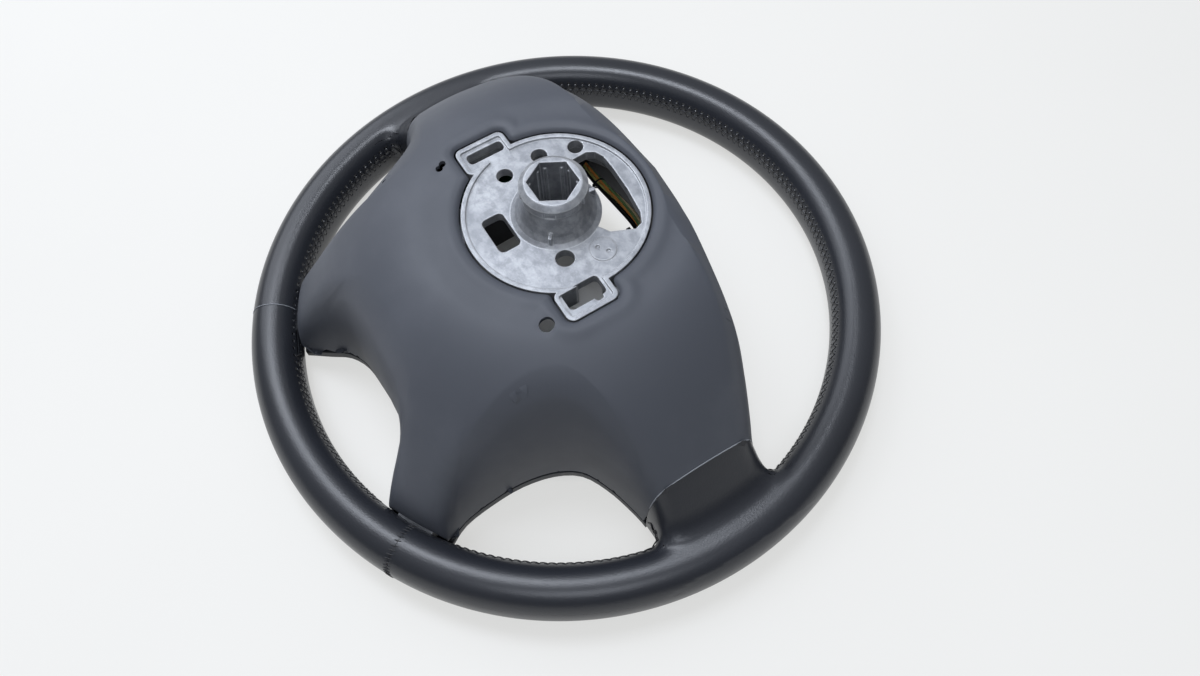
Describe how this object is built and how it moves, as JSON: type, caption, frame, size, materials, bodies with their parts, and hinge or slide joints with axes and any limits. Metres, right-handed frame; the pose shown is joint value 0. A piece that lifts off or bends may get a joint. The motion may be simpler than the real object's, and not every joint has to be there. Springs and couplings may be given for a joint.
{
  "type": "car steering wheel",
  "caption": "Leather covered four-spoke car steering wheel without its airbag module, with a cast hub, moulded rear cover, bezel and thumb switches.",
  "frame": {"origin": "on the floor plane under the hub, where the steering axis meets the plane that the rim's front rests on", "axes": "+Z along the steering axis towards the column, +Y to 12 o'clock, +X to 3 o'clock as seen from the column side"},
  "size_m": [0.38, 0.3799, 0.143],
  "materials": {
    "cast_magnesium": "as die cast, satin",
    "foam": "moulded foam",
    "leather": "smooth grain, satin",
    "cover_plastic": "fine moulded grain",
    "bezel_plastic": "fine moulded grain",
    "housing_plastic": "fine moulded grain",
    "button_plastic": "soft satin",
    "circuit_board": "solder mask",
    "spring_wire": "drawn wire",
    "screw_steel": "zinc plated",
    "cloth_tape": "woven tape",
    "wire_insulation": "extruded insulation",
    "plug_plastic": "moulded"
  },
  "bodies": {
    "wheel": {"armature": "cast_magnesium", "rim_core": "cast_magnesium", "rim_foam": "foam", "leather_upper": "leather", "leather_lower": "leather", "rear_cover": "cover_plastic", "front_bezel": "bezel_plastic", "retaining_spring_left": "spring_wire", "retaining_spring_right": "spring_wire", "switch_housing_left": "housing_plastic", "switch_board_left": "circuit_board", "switch_housing_right": "housing_plastic", "switch_board_right": "circuit_board", "harness_trunk": "cloth_tape", "harness_wires": "wire_insulation", "harness_plug_left": "plug_plastic", "harness_plug_right": "plug_plastic", "column_plug": "plug_plastic", "harness_clips": "plug_plastic", "cover_screws": "screw_steel", "bezel_screws": "screw_steel", "board_screws": "screw_steel"},
    "volume_rocker": {"volume_rocker": "button_plastic"},
    "seek_rocker": {"seek_rocker": "button_plastic"},
    "mode_button": {"mode_button": "button_plastic"},
    "speed_rocker": {"speed_rocker": "button_plastic"},
    "cruise_button": {"cruise_button": "button_plastic"},
    "cancel_button": {"cancel_button": "button_plastic"}
  },
  "joints": [
    {"name": "volume_tilt", "type": "hinge", "parent": "wheel", "child": "volume_rocker", "pos_m": [-0.1195, 0, 0.0106], "axis": [1, 0, 0], "range_deg": [-4, 4], "stiffness_Nm_per_rad": 0.4},
    {"name": "seek_tilt", "type": "hinge", "parent": "wheel", "child": "seek_rocker", "pos_m": [-0.103, 0, 0.0106], "axis": [1, 0, 0], "range_deg": [-4, 4], "stiffness_Nm_per_rad": 0.4},
    {"name": "mode_press", "type": "slide", "parent": "wheel", "child": "mode_button", "axis": [0, 0, 1], "range_m": [0, 0.0012], "stiffness_N_per_m": 2500, "springref_m": -0.0004},
    {"name": "speed_tilt", "type": "hinge", "parent": "wheel", "child": "speed_rocker", "pos_m": [0.103, 0, 0.0106], "axis": [1, 0, 0], "range_deg": [-4, 4], "stiffness_Nm_per_rad": 0.4},
    {"name": "cruise_press", "type": "slide", "parent": "wheel", "child": "cruise_button", "axis": [0, 0, 1], "range_m": [0, 0.0012], "stiffness_N_per_m": 2500, "springref_m": -0.0004},
    {"name": "cancel_press", "type": "slide", "parent": "wheel", "child": "cancel_button", "axis": [0, 0, 1], "range_m": [0, 0.0012], "stiffness_N_per_m": 2500, "springref_m": -0.0004}
  ]
}
